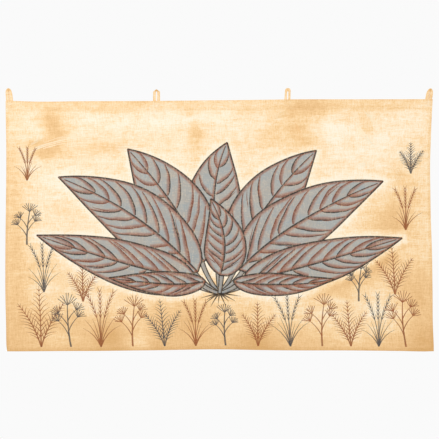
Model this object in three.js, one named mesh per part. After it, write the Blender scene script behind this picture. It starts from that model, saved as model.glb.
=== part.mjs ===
// A painted linen hanging: one hemmed cloth, held up by four strip loops at its top edge.
//
// Millimetres, +Z up. The painted front faces -Y. The origin is the middle of the cloth's
// width, in the plane of the loops, at the height of the pegs that the loops hang on.
import * as THREE from 'three';

// Driving sizes of the cloth
const CLOTH_WIDTH = 1708;
const CLOTH_DROP = 1003;
const EDGE_BELOW_PEGS = 34;
const CLOTH_THICKNESS = 1.2;

// Turned hems, folded to the back of the cloth
const TURNED_THICKNESS = 1.2;
const TOP_HEM = 40;
const SIDE_HEM = 10;
const BOTTOM_HEM = 12;
const HEM_STEP = 1.5;

// Strips that are bent into loops, with their ends sewn on behind the top hem
const STRIP_THICKNESS = 2.6;
const STRIP_ROUNDING = 0.8;
const STRIP_TUCK = 32;
const CLEARANCE = 0.3;

// Facets
const ACROSS_STEPS = 44;
const DOWN_STEPS = 26;
const ARCH_STEPS = 10;

// The cloth's mid-plane lies in front of the loops by half of each thickness and the turned hem
const CLOTH_PLANE_Y = -(STRIP_THICKNESS / 2 + CLEARANCE + TURNED_THICKNESS + CLOTH_THICKNESS / 2);
const TOP_Z = -EDGE_BELOW_PEGS;
const BOTTOM_Z = TOP_Z - CLOTH_DROP;

// How far each cut edge strays from a straight line. Across is +X and up is +Z.
const TOP_EDGE = [
  { at: -819, stray: -4.4 },
  { at: -715, stray: -7.3 },
  { at: -555, stray: -5.8 },
  { at: -235, stray: -4.0 },
  { at: -75, stray: -2.6 },
  { at: 85, stray: -1.2 },
  { at: 205, stray: 0.7 },
  { at: 305, stray: 2.1 },
  { at: 525, stray: 1.8 },
  { at: 685, stray: 2.1 },
  { at: 821, stray: 2.7 },
];
const BOTTOM_EDGE = [
  { at: -840, stray: -1.7 },
  { at: -635, stray: -2.2 },
  { at: -475, stray: -2.0 },
  { at: -315, stray: 0.5 },
  { at: -155, stray: 3.3 },
  { at: 5, stray: 5.0 },
  { at: 165, stray: 1.9 },
  { at: 365, stray: 0.2 },
  { at: 605, stray: -0.5 },
  { at: 725, stray: -1.1 },
  { at: 810, stray: -2.4 },
  { at: 848, stray: -1.3 },
];
const LEFT_EDGE = [
  { at: -1040, stray: 10.4 },
  { at: -1012, stray: 6.9 },
  { at: -920, stray: 5.0 },
  { at: -840, stray: 2.2 },
  { at: -760, stray: 0.9 },
  { at: -600, stray: 1.1 },
  { at: -440, stray: 2.7 },
  { at: -240, stray: 3.8 },
  { at: -80, stray: 1.5 },
  { at: -40, stray: 1.3 },
];
const RIGHT_EDGE = [
  { at: -1016, stray: 3.5 },
  { at: -920, stray: -0.1 },
  { at: -800, stray: -0.3 },
  { at: -640, stray: -2.4 },
  { at: -520, stray: -6.6 },
  { at: -400, stray: -8.2 },
  { at: -300, stray: -9.2 },
  { at: -200, stray: -6.0 },
  { at: -120, stray: -3.0 },
  { at: -40, stray: 1.7 },
];

// Soft standing waves of the hung cloth: how far each stands in and out, the distance from
// crest to crest, where a crest meets the top hem, and how far it wanders sideways per drop
const WAVES = [
  { rise: 3.4, wavelength: 860, crest: -610, wander: 0.16 },
  { rise: 2.1, wavelength: 530, crest: 130, wander: -0.12 },
  { rise: 1.0, wavelength: 290, crest: -300, wander: 0.2 },
];
// The cloth bows a little to the front between two loops, and its bottom corners lift forward
const SPAN_BOW = 2.4;
const CORNER_LIFT = { forward: 7, across: 260, up: 330 };
// The waves start below the stiff top hem and reach full size this far down the drop
const WAVES_START = 0.045;
const WAVES_FULL = 0.55;

// The loops from left to right: centre of each at the cloth's edge and at the peg, its whole width
// at the cloth's edge and where its arch springs, the slit between its legs at the cloth's edge,
// how far the crown stands over the peg and over the springing, and the arch's form, from 1 for a
// mitred point through 2 for an ellipse to 3 for a squarer arch
const LOOPS = [
  { foot: -837.4, head: -841.2, wide: 28.6, top: 27.2, slit: 1, crown: 12.8, spring: 22.8, form: 2 },
  { foot: -249.2, head: -249.2, wide: 28, top: 28, slit: 2.8, crown: 8.5, spring: 10, form: 1.1 },
  { foot: 274.6, head: 276.2, wide: 23.8, top: 23.2, slit: 3.6, crown: 13.3, spring: 17.3, form: 3 },
  { foot: 840, head: 845.4, wide: 27.8, top: 27.4, slit: 1.4, crown: 12.4, spring: 26.4, form: 2 },
];
// The legs part to this gap for the peg, from its top down this far, and close in below it
const EYE_GAP = 5.2;
const EYE_ARCH = 3;
const EYE_DEPTH = 10;

// Smooth value between table rows in rising order of place, level past both ends
function smoothStray(rows, place) {
  const last = rows.length - 1;
  if (place <= rows[0].at) return rows[0].stray;
  if (place >= rows[last].at) return rows[last].stray;
  const i = rows.findIndex((row) => row.at > place) - 1;
  const slope = (k) => {
    const before = rows[Math.max(k - 1, 0)];
    const after = rows[Math.min(k + 1, last)];
    return (after.stray - before.stray) / (after.at - before.at);
  };
  const width = rows[i + 1].at - rows[i].at;
  const t = (place - rows[i].at) / width;
  const t2 = t * t;
  const t3 = t2 * t;
  return (
    (2 * t3 - 3 * t2 + 1) * rows[i].stray
    + (t3 - 2 * t2 + t) * width * slope(i)
    + (3 * t2 - 2 * t3) * rows[i + 1].stray
    + (t3 - t2) * width * slope(i + 1)
  );
}

// How far the cloth stands in or out of its plane at a place on it, towards +Y
function hangDepth(x, z) {
  const drop = (TOP_Z - z) / CLOTH_DROP;
  const growth = THREE.MathUtils.smoothstep(drop, WAVES_START, WAVES_FULL);
  let depth = 0;
  for (const wave of WAVES) {
    const turns = (x - wave.crest - wave.wander * (TOP_Z - z)) / wave.wavelength;
    depth += wave.rise * growth * Math.cos(2 * Math.PI * turns);
  }
  for (let i = 0; i + 1 < LOOPS.length; i += 1) {
    const share = (x - LOOPS[i].foot) / (LOOPS[i + 1].foot - LOOPS[i].foot);
    const inside = share > 0 && share < 1;
    depth -= inside ? SPAN_BOW * Math.sin(Math.PI * share) ** 2 * (1 - growth) : 0;
  }
  const sideX = CLOTH_WIDTH / 2;
  const nearSide = THREE.MathUtils.smoothstep(Math.abs(x), sideX - CORNER_LIFT.across, sideX);
  const nearBottom = 1 - THREE.MathUtils.smoothstep(z, BOTTOM_Z, BOTTOM_Z + CORNER_LIFT.up);
  return depth - CORNER_LIFT.forward * nearSide * nearBottom;
}

// Distances from one edge to the other, with a close pair of lines where each hem steps down
function gridStops(length, firstHem, lastHem, steps) {
  const start = firstHem + HEM_STEP;
  const end = length - lastHem - HEM_STEP;
  const middle = Array.from({ length: steps + 1 }, (_, i) => start + ((end - start) * i) / steps);
  return [0, firstHem, ...middle, length - lastHem, length];
}

// A point on the front or back face, at a distance across from the left and down from the top
function clothPoint(across, down, isBack) {
  const levelX = -CLOTH_WIDTH / 2 + across;
  const levelZ = TOP_Z - down;
  const left = -CLOTH_WIDTH / 2 + smoothStray(LEFT_EDGE, levelZ);
  const right = CLOTH_WIDTH / 2 + smoothStray(RIGHT_EDGE, levelZ);
  const top = TOP_Z + smoothStray(TOP_EDGE, levelX);
  const bottom = BOTTOM_Z + smoothStray(BOTTOM_EDGE, levelX);
  const x = THREE.MathUtils.lerp(left, right, across / CLOTH_WIDTH);
  const z = THREE.MathUtils.lerp(top, bottom, down / CLOTH_DROP);
  const turned = across <= SIDE_HEM || across >= CLOTH_WIDTH - SIDE_HEM
    || down <= TOP_HEM || down >= CLOTH_DROP - BOTTOM_HEM;
  const half = CLOTH_THICKNESS / 2;
  const offset = isBack ? half + (turned ? TURNED_THICKNESS : 0) : -half;
  return [x, CLOTH_PLANE_Y + hangDepth(x, z) + offset, z];
}

// The cloth as one closed sheet: a front grid, a back grid and a rim between them
function clothGeometry() {
  const columns = gridStops(CLOTH_WIDTH, SIDE_HEM, SIDE_HEM, ACROSS_STEPS);
  const rows = gridStops(CLOTH_DROP, TOP_HEM, BOTTOM_HEM, DOWN_STEPS);
  const points = [];
  for (const isBack of [false, true]) {
    for (const down of rows) {
      for (const across of columns) points.push(...clothPoint(across, down, isBack));
    }
  }
  const index = (side, row, column) => (side * rows.length + row) * columns.length + column;
  const faces = [];
  const quad = (a, b, c, d) => faces.push(a, b, c, a, c, d);
  for (let r = 0; r + 1 < rows.length; r += 1) {
    for (let c = 0; c + 1 < columns.length; c += 1) {
      quad(index(0, r, c), index(0, r + 1, c), index(0, r + 1, c + 1), index(0, r, c + 1));
      quad(index(1, r, c), index(1, r, c + 1), index(1, r + 1, c + 1), index(1, r + 1, c));
    }
  }
  const low = rows.length - 1;
  const right = columns.length - 1;
  for (let c = 0; c < right; c += 1) {
    quad(index(0, 0, c), index(0, 0, c + 1), index(1, 0, c + 1), index(1, 0, c));
    quad(index(0, low, c + 1), index(0, low, c), index(1, low, c), index(1, low, c + 1));
  }
  for (let r = 0; r < low; r += 1) {
    quad(index(0, r + 1, 0), index(0, r, 0), index(1, r, 0), index(1, r + 1, 0));
    quad(index(0, r, right), index(0, r + 1, right), index(1, r + 1, right), index(1, r, right));
  }
  const geometry = new THREE.BufferGeometry();
  geometry.setAttribute('position', new THREE.Float32BufferAttribute(points, 3));
  geometry.setIndex(faces);
  geometry.computeVertexNormals();
  return geometry;
}

// An arch over the peg, from its left springing to its right one, as [across, up]
function archPoints(halfWidth, crown, height, form) {
  const points = [];
  for (let i = 0; i <= ARCH_STEPS; i += 1) {
    const angle = Math.PI * (1 - i / ARCH_STEPS);
    const cosine = Math.cos(angle);
    const across = Math.sign(cosine) * halfWidth * Math.abs(cosine) ** (2 / form);
    points.push([across, crown - height + height * Math.sin(angle) ** (2 / form)]);
  }
  return points;
}

// One loop as a bent flat strip, its legs parted by a gap and its ends behind the hem
function loopGeometry(loop) {
  const footZ = TOP_Z + smoothStray(TOP_EDGE, loop.foot);
  const endZ = footZ - STRIP_TUCK;
  const outer = loop.wide / 2;
  const inner = loop.slit / 2;
  const upright = [
    [-outer, endZ],
    [-outer, footZ],
    ...archPoints(loop.top / 2, loop.crown, loop.spring, loop.form),
    [outer, footZ],
    [outer, endZ],
    [inner, endZ],
    [inner, footZ],
    [EYE_GAP / 2, -EYE_DEPTH],
    ...archPoints(EYE_GAP / 2, 0, EYE_ARCH, 2).reverse(),
    [-EYE_GAP / 2, -EYE_DEPTH],
    [-inner, footZ],
    [-inner, endZ],
  ];
  const leaning = upright.map(([across, z]) => {
    const rise = THREE.MathUtils.clamp((z - footZ) / -footZ, 0, 2);
    return new THREE.Vector2(across + THREE.MathUtils.lerp(loop.foot, loop.head, rise), z);
  });
  const geometry = new THREE.ExtrudeGeometry(new THREE.Shape(leaning), {
    depth: STRIP_THICKNESS - 2 * STRIP_ROUNDING,
    bevelEnabled: true,
    bevelThickness: STRIP_ROUNDING,
    bevelSize: STRIP_ROUNDING,
    bevelOffset: -STRIP_ROUNDING,
    bevelSegments: 1,
  });
  geometry.rotateX(Math.PI / 2);
  geometry.translate(0, STRIP_THICKNESS / 2 - STRIP_ROUNDING, 0);
  return geometry;
}

const linen = new THREE.MeshStandardMaterial({ color: 0xf6dcae, roughness: 0.92, metalness: 0 });
const stripLinen = new THREE.MeshStandardMaterial({ color: 0xf0cf9a, roughness: 0.92, metalness: 0 });

const hanging = new THREE.Group();

const cloth = new THREE.Mesh(clothGeometry(), linen);
cloth.name = 'cloth';
hanging.add(cloth);

for (const [i, loop] of LOOPS.entries()) {
  const mesh = new THREE.Mesh(loopGeometry(loop), stripLinen);
  mesh.name = `loop_${i + 1}`;
  hanging.add(mesh);
}

export default hanging;
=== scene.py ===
"""A painted linen wall hanging with four strip loops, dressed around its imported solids.

Metres, +Z up. The painted front faces -Y, and the loops hang from pegs at z = 0. Flat places on
the cloth are given as level (x, z): where they would be if its cut edges were straight.
"""

import math
import random

import bpy
import numpy as np
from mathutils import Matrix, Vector
from mathutils.geometry import delaunay_2d_cdt


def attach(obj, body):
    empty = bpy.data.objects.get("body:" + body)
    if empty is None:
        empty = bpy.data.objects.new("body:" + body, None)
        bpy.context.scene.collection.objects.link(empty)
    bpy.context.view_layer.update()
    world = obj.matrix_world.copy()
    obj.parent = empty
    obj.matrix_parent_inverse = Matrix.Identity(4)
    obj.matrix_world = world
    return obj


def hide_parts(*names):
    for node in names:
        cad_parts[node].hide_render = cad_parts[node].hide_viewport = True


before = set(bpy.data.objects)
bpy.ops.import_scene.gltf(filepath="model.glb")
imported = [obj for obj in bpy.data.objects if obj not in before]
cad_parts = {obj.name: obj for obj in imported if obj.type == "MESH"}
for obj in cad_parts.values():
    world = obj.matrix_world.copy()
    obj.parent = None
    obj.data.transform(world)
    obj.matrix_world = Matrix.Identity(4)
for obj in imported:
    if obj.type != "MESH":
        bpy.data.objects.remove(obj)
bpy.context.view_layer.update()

# Cloth, with the sizes of its solid
WIDTH = 1.708
DROP = 1.003
TOP_Z = -0.034
BOTTOM_Z = TOP_Z - DROP
THICK = 0.0012
TURNED_THICK = 0.0012
PLANE_Y = -0.0034
TOP_HEM = 0.040
SIDE_HEM = 0.010
BOTTOM_HEM = 0.012
HEM_STEP = 0.0012
RIM_ROUND = 0.0009
RIM_RINGS = 4
SEAM_INSET = 0.003

# Puckers along the seams: their ripple as (radians a metre, shift, share), reach, rise and sink
PUCKERS = [(331.0, 0.0, 0.6), (523.0, 1.3, 0.4)]
PUCKER_REACH = 0.006
PUCKER_RISE = 0.00022
SEAM_SINK = 0.00035

# Drag folds that fan out below each loop
DRAG_START = 0.004
DRAG_FULL = 0.020
DRAG_LENGTH = 0.075
DRAG_WIDTH = 0.012
DRAG_SPREAD = 0.30
DRAG_RISE = 0.0011
# Their ripple across the fan, and how fast it dies out
DRAG_RIPPLE = 3.4
DRAG_FALL = 0.55

# How far each cut edge strays from a straight line, as (place along the edge, stray)
TOP_EDGE = [
    (-0.819, -0.0044), (-0.715, -0.0073), (-0.555, -0.0058), (-0.235, -0.0040), (-0.075, -0.0026),
    (0.085, -0.0012), (0.205, 0.0007), (0.305, 0.0021), (0.525, 0.0018), (0.685, 0.0021),
    (0.821, 0.0027),
]
BOTTOM_EDGE = [
    (-0.840, -0.0017), (-0.635, -0.0022), (-0.475, -0.0020), (-0.315, 0.0005), (-0.155, 0.0033),
    (0.005, 0.0050), (0.165, 0.0019), (0.365, 0.0002), (0.605, -0.0005), (0.725, -0.0011),
    (0.810, -0.0024), (0.848, -0.0013),
]
LEFT_EDGE = [
    (-1.040, 0.0104), (-1.012, 0.0069), (-0.920, 0.0050), (-0.840, 0.0022), (-0.760, 0.0009),
    (-0.600, 0.0011), (-0.440, 0.0027), (-0.240, 0.0038), (-0.080, 0.0015), (-0.040, 0.0013),
]
RIGHT_EDGE = [
    (-1.016, 0.0035), (-0.920, -0.0001), (-0.800, -0.0003), (-0.640, -0.0024), (-0.520, -0.0066),
    (-0.400, -0.0082), (-0.300, -0.0092), (-0.200, -0.0060), (-0.120, -0.0030), (-0.040, 0.0017),
]

# Soft standing waves of the hung cloth: (rise, wavelength, crest, sideways shift a metre down)
WAVES = [
    (0.0034, 0.860, -0.610, 0.16),
    (0.0021, 0.530, 0.130, -0.12),
    (0.0010, 0.290, -0.300, 0.20),
]
SPAN_BOW = 0.0024
WAVES_START = 0.045
WAVES_FULL = 0.55
CORNER_FORWARD = 0.007
CORNER_ACROSS = 0.260
CORNER_UP = 0.330

# Loops: (foot x, head x, width at the foot, width at the springing, slit at the foot, gap under
# the peg, crown over the peg, crown over the springing, arch form, darkening at the crown)
LOOPS = {
    "loop_1": (-0.8374, -0.8412, 0.0286, 0.0272, 0.0004, 0.0006, 0.0128, 0.0228, 2.0, 0.34),
    "loop_2": (-0.2492, -0.2492, 0.0280, 0.0280, 0.0028, 0.0046, 0.0085, 0.0100, 1.1, 0.62),
    "loop_3": (0.2746, 0.2762, 0.0238, 0.0232, 0.0036, 0.0048, 0.0133, 0.0173, 3.0, 0.16),
    "loop_4": (0.8400, 0.8454, 0.0278, 0.0274, 0.0006, 0.0010, 0.0124, 0.0264, 2.0, 0.40),
}
LOOP_TUCK = 0.032
LOOP_THICK = 0.0028
EYE_DEPTH = 0.010
STRIP_SIDES = 28
# Depth of dye on a strip, and painted shade in its furrow and, where legs lie shut, between them
STRIP_DYE = 0.44
GROOVE_PAINTED_SHADE = 0.20
SHUT_SLIT = 0.001
SHUT_FOLD_PAINTED_SHADE = 0.20
CREASE_WIDTH = 0.30
# Half width and half height of the darker spot at the crown
CROWN_DARK_ACROSS = 0.006
CROWN_DARK_UP = 0.0055
# The furrow along a strip: its place across, half width and share of the thickness
GROOVE_AT = 0.62
GROOVE_WIDTH = 0.13
GROOVE_SINK = 0.30
# How far a strip's edge frays, and the strip sways above its sewn foot
FRAY = 0.035
SWAY = 0.0004
SWAY_START = 0.012

# Mesh fineness
BORDER_STEP = 0.010
GROUND_STEP = 0.0135
SEAM_STEP = 0.007
BACK_STEP = 0.018
# Rows of points along the seams, as distances in from them
FRONT_ROWS = (-0.006, -0.003, 0.0, 0.004)
BACK_ROWS = (0.0, HEM_STEP)
BAKE_MARGIN = 0.010

# Paint, as sRGB shades
GREY = (0.656, 0.664, 0.656)
GREY_SHADE = (0.530, 0.530, 0.530)
CHARCOAL = (0.150, 0.120, 0.115)
RUST_DARK = (0.480, 0.245, 0.155)
RUST = (0.620, 0.355, 0.240)
BROWN = (0.580, 0.335, 0.190)
SLATE = (0.285, 0.285, 0.300)
CREAM = (1.000, 0.945, 0.835)
OCHRE = (0.945, 0.765, 0.530)


# Shape of the hung cloth

def smooth_rows(rows, place):
    """The smooth value at each place between the rows, level past both ends."""
    at, value = np.array(rows, dtype=float).T
    rise = np.diff(value) / np.diff(at)
    across_two = (value[2:] - value[:-2]) / (at[2:] - at[:-2])
    slope = np.concatenate([rise[:1], across_two, rise[-1:]])
    here = np.clip(place, at[0], at[-1])
    i = np.clip(np.searchsorted(at, here, side="right") - 1, 0, len(at) - 2)
    width = at[i + 1] - at[i]
    t = (here - at[i]) / width
    start = (2 * t**3 - 3 * t**2 + 1) * value[i] + (t**3 - 2 * t**2 + t) * width * slope[i]
    end = (3 * t**2 - 2 * t**3) * value[i + 1] + (t**3 - t**2) * width * slope[i + 1]
    return start + end


def smoothstep(value, low, high):
    t = np.clip((value - low) / (high - low), 0.0, 1.0)
    return t * t * (3 - 2 * t)


def hang_depth(x, z):
    """How far the cloth stands behind its plane, towards +Y."""
    growth = smoothstep((TOP_Z - z) / DROP, WAVES_START, WAVES_FULL)
    depth = np.zeros_like(x)
    for rise, wavelength, crest, shift in WAVES:
        place = x - crest - shift * (TOP_Z - z)
        depth += rise * growth * np.cos(2 * math.pi * place / wavelength)
    feet = [row[0] for row in LOOPS.values()]
    for left, right in zip(feet, feet[1:]):
        share = np.clip((x - left) / (right - left), 0.0, 1.0)
        depth -= SPAN_BOW * np.sin(math.pi * share) ** 2 * (1 - growth)
    near_side = smoothstep(np.abs(x), WIDTH / 2 - CORNER_ACROSS, WIDTH / 2)
    near_bottom = 1 - smoothstep(z, BOTTOM_Z, BOTTOM_Z + CORNER_UP)
    return depth - CORNER_FORWARD * near_side * near_bottom


def edge_distances(x, z):
    """Level distances in from the top, bottom and nearer side edge."""
    return TOP_Z - z, z - BOTTOM_Z, WIDTH / 2 - np.abs(x)


def rim_distance(x, z):
    """Level distance in from the nearest edge."""
    return np.minimum.reduce(edge_distances(x, z))


def past_seams(x, z):
    """Level distance in from the nearest hem, below 0 on the hems."""
    top, bottom, side = edge_distances(x, z)
    return np.minimum.reduce([top - TOP_HEM, bottom - BOTTOM_HEM, side - SIDE_HEM])


def seam_relief(x, z):
    """Small puckers along the hem seams and drag folds under the loops, towards -Y."""
    top, bottom, side = edge_distances(x, z)
    relief = np.zeros_like(x)
    for distance, along, hem in ((top, x, TOP_HEM), (bottom, x, BOTTOM_HEM), (side, z, SIDE_HEM)):
        near = np.exp(-(((distance - hem + SEAM_INSET) / PUCKER_REACH) ** 2))
        ripple = sum(np.sin(along * turns + shift) * share for turns, shift, share in PUCKERS)
        relief += near * (PUCKER_RISE * ripple - SEAM_SINK)
    below = np.clip(top - DRAG_START, 0.0, None)
    fade = np.exp(-below / DRAG_LENGTH) * smoothstep(below, 0.0, DRAG_FULL)
    for foot, *_ in LOOPS.values():
        spread = (x - foot) / (DRAG_WIDTH + DRAG_SPREAD * below)
        folds = DRAG_RISE * np.cos(spread * DRAG_RIPPLE)
        relief += folds * np.exp(-(spread**2) * DRAG_FALL) * fade
    return relief


def cloth_places(x, z, behind):
    """Level places, and their depths behind the mid-plane, as points in space."""
    left = -WIDTH / 2 + smooth_rows(LEFT_EDGE, z)
    right = WIDTH / 2 + smooth_rows(RIGHT_EDGE, z)
    top = TOP_Z + smooth_rows(TOP_EDGE, x)
    bottom = BOTTOM_Z + smooth_rows(BOTTOM_EDGE, x)
    true_x = left + (right - left) * (x + WIDTH / 2) / WIDTH
    true_z = top + (bottom - top) * (TOP_Z - z) / DROP
    y = PLANE_Y + hang_depth(true_x, true_z) - seam_relief(x, z) + behind
    return np.stack([true_x, y, true_z], axis=-1)


# Painted shapes, laid one over another

class Painting:
    """Flat shapes in the order in which they are painted, with an ink at each corner."""

    def __init__(self):
        self.points = []
        self.faces = []
        self.corners = []
        self.inks = []
        self.leaves_to_come = []

    def area(self, outline, ink):
        """A shape of one ink."""
        start = len(self.points)
        self.points.extend(map(tuple, outline))
        self.faces.append(list(range(start, start + len(outline))))
        self.corners.append(((0.0, 0.0), (1.0, 0.0), (0.0, 1.0)))
        self.inks.append((ink, ink, ink))

    def ribbon(self, path, offsets, zones):
        """A stroke along a path: zones between successive distances to its left.

        Each zone blends from its first ink to its second one. What later leaves hide is skipped.
        """
        path = np.asarray(path)
        count = len(path)
        sideways = left_of(path)
        start = len(self.points)
        for offset in offsets:
            edge = path + sideways * (np.ones(count) * offset)[:, None]
            self.points.extend(map(tuple, edge))
        hidden = hidden_under(self.leaves_to_come, path)
        for zone, (near, far) in enumerate(zones):
            for i in range(count - 1):
                if hidden[i] and hidden[i + 1]:
                    continue
                a = start + zone * count + i
                b, c, d = a + 1, a + count + 1, a + count
                self._triangle((a, b, c), (near, near, far))
                self._triangle((a, c, d), (near, far, far))

    def _triangle(self, indices, inks):
        spots = [self.points[k] for k in indices]
        if abs(signed_area(np.array(spots))) > 1e-9:
            self.faces.append(list(indices))
            self.corners.append(spots)
            self.inks.append(inks)


def signed_area(outline):
    x, z = outline.T
    return 0.5 * float(np.sum(x * np.roll(z, -1) - np.roll(x, -1) * z))


def left_of(path):
    """The unit direction to the left of a path at each of its points."""
    ahead = np.gradient(path, axis=0)
    ahead /= np.linalg.norm(ahead, axis=1)[:, None]
    return np.stack([-ahead[:, 1], ahead[:, 0]], axis=1)


def inside(outline, points):
    """Whether each point lies inside the outline."""
    x, z = points.T[:, :, None]
    ax, az = outline.T
    bx, bz = np.roll(outline, -1, axis=0).T
    run = np.where(np.abs(bz - az) < 1e-12, 1e-12, bz - az)
    crosses = ((az > z) != (bz > z)) & (x < (bx - ax) * (z - az) / run + ax)
    return np.sum(crosses, axis=1) % 2 == 1


def hidden_under(leaves, path):
    """Which points of a path lie under the given leaves."""
    covered = np.zeros(len(path), dtype=bool)
    for leaf in leaves:
        covered |= inside(leaf.outline, path)
    return covered


def bezier(start, pull, end, count):
    t = np.linspace(0, 1, count)[:, None]
    return (1 - t) ** 2 * np.array(start) + 2 * t * (1 - t) * np.array(pull) + t**2 * np.array(end)


def wander(rng, count, size, turns=3.0):
    """A smooth random sideways drift, as of a hand that draws a long line."""
    t = np.linspace(0, 1, count)
    drift = np.zeros(count)
    for k in range(1, 4):
        drift += rng.uniform(-1, 1) / k * np.sin(t * turns * k + rng.uniform(0, 2 * math.pi))
    return size * drift


SWELL_SHARE = 0.18
THIN_SHARE = 0.55


def taper(count, start, end):
    """A brush stroke's width share: it swells from its start and thins to its end."""
    t = np.linspace(0, 1, count)
    rise = start + (1 - start) * np.clip(t / SWELL_SHARE, 0, 1)
    fall = end + (1 - end) * np.clip((1 - t) / THIN_SHARE, 0, 1)
    return rise * fall


# The main motif: a fan of broad striped leaves on one root

# Leaves from back to front: (foot, pull, tip, full width, ribs a side, side of the shade)
LEAVES = [
    ((0.000, -0.670), (-0.050, -0.430), (0.036, -0.204), 0.241, 7, 1),
    ((-0.060, -0.685), (-0.175, -0.420), (-0.365, -0.226), 0.247, 7, 1),
    ((0.064, -0.682), (0.195, -0.430), (0.395, -0.238), 0.240, 7, -1),
    ((-0.080, -0.722), (-0.300, -0.480), (-0.645, -0.340), 0.240, 9, 1),
    ((0.082, -0.719), (0.320, -0.480), (0.665, -0.360), 0.234, 9, -1),
    ((-0.092, -0.762), (-0.380, -0.700), (-0.728, -0.568), 0.189, 9, -1),
    ((0.092, -0.762), (0.390, -0.700), (0.738, -0.590), 0.182, 9, 1),
    ((-0.052, -0.762), (-0.220, -0.788), (-0.440, -0.742), 0.095, 6, 1),
    ((0.058, -0.762), (0.240, -0.792), (0.464, -0.752), 0.089, 6, -1),
    ((0.006, -0.740), (0.058, -0.610), (-0.030, -0.430), 0.165, 7, 1),
]
ROOT = (0.002, -0.812)
LEAF_STEPS = 31
LINE = 0.0046
# How far the soft rust shade reaches from a stripe, the midrib and the outline
STRIPE_SHADE = 0.0150
MIDRIB_SHADE = 0.0130
OUTLINE_SHADE = 0.0155
SHADE_STRENGTH = 0.85
LEAF_FILL = (*GREY, 0.97)
LEAF_INK = (*CHARCOAL, 0.95)


def leaf_width(t, full):
    """Half of the blade's width along its length, widest some way below the middle."""
    rise, fall = 0.60, 0.98
    peak = rise / (rise + fall)
    return 0.5 * full * (t**rise * (1 - t) ** fall) / (peak**rise * (1 - peak) ** fall)


class Leaf:
    """One broad blade: its midrib line, its two edges and its outline."""

    def __init__(self, rng, foot, pull, tip, full, ribs, shade):
        self.rng, self.ribs, self.shade = rng, ribs, shade
        self.t = np.linspace(0, 1, LEAF_STEPS)
        self.spine = bezier(foot, pull, tip, LEAF_STEPS)
        self.side = left_of(self.spine)
        self.spine = self.spine + self.side * wander(rng, LEAF_STEPS, 0.004)[:, None]
        half = leaf_width(self.t, full)
        self.half = {side: half * (1 + wander(rng, LEAF_STEPS, 0.045, 6.0)) for side in (1, -1)}
        left = self.spine + self.side * self.half[1][:, None]
        right = self.spine - self.side * self.half[-1][:, None]
        self.outline = np.concatenate([left, right[-2:0:-1]])

    def at(self, t, share, side):
        """Places on the blade: t along it, and a share of the way out to one edge."""
        spine = np.stack([np.interp(t, self.t, self.spine[:, k]) for k in (0, 1)], axis=1)
        out = np.stack([np.interp(t, self.t, self.side[:, k]) for k in (0, 1)], axis=1)
        reach = np.interp(t, self.t, self.half[side]) * share * side
        return spine + out * reach[:, None]


def stroke(painting, path, width, ink, shade_side=0, shade=0.0):
    """A brush line that, where asked, fades into a soft rust shade on one side."""
    half = 0.5 * width * np.ones(len(path))
    if not shade_side:
        painting.ribbon(path, (-half, half), [(ink, ink)])
        return
    reach = shade * taper(len(path), 0.4, 0.3)
    near, middle = (*RUST_DARK, SHADE_STRENGTH), (*RUST, SHADE_STRENGTH * 0.70)
    offsets = [shade_side * edge for edge in (-half, half, half + reach * 0.5, half + reach)]
    painting.ribbon(path, offsets, [(ink, ink), (near, middle), (middle, (*RUST, 0.0))])


def paint_rib(painting, leaf, start, side):
    """One stripe from the midrib towards the blade's edge and tip."""
    rng = leaf.rng
    count = 9
    s = np.linspace(0, 1, count)
    sweep = rng.uniform(0.19, 0.24) * (1.15 - 0.5 * start)
    t = np.clip(start + sweep * s**1.25 + wander(rng, count, 0.006, 6.0), 0.0, 0.985)
    path = leaf.at(t, rng.uniform(0.88, 0.95) * (0.05 + 0.95 * s**0.93), side)
    width = LINE * rng.uniform(0.8, 1.15) * taper(count, 0.6, 0.4)
    ink = LEAF_INK if rng.random() < 0.72 else (*RUST_DARK, 0.95)
    stroke(painting, path, width, ink, -side, STRIPE_SHADE)


def paint_short_rib(painting, leaf, start, side):
    """A short stripe between two long ones, out on the blade."""
    rng = leaf.rng
    count = 6
    s = np.linspace(0, 1, count)
    t = np.clip(start + 0.06 + 0.10 * s, 0.0, 0.97)
    path = leaf.at(t, rng.uniform(0.34, 0.5) + 0.38 * s, side)
    path = path + left_of(path) * wander(rng, count, 0.0015, 5.0)[:, None]
    stroke(painting, path, LINE * 0.75 * taper(count, 0.3, 0.3), (*RUST_DARK, 0.9))


def paint_leaf(painting, leaf):
    """One blade: its fill, stripes, midrib and dark outline with a soft rust inner edge."""
    painting.area(leaf.outline, LEAF_FILL)
    for side in (1, -1):
        for k in range(leaf.ribs):
            start = 0.04 + 0.80 * (k + leaf.rng.uniform(0.2, 0.5)) / leaf.ribs
            paint_rib(painting, leaf, start, side)
            if leaf.rng.random() < 0.5 and start < 0.62:
                paint_short_rib(painting, leaf, start, side)
    rib = leaf.at(leaf.t[:-1], np.zeros(LEAF_STEPS - 1), 1)
    width = LINE * 1.3 * taper(len(rib), 0.9, 0.4)
    stroke(painting, rib, width, LEAF_INK, leaf.shade, MIDRIB_SHADE)
    for side in (1, -1):
        edge = leaf.at(leaf.t, np.ones(LEAF_STEPS), side)
        stroke(painting, edge, LINE * 1.2, (*CHARCOAL, 0.97), -side, OUTLINE_SHADE)


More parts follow.
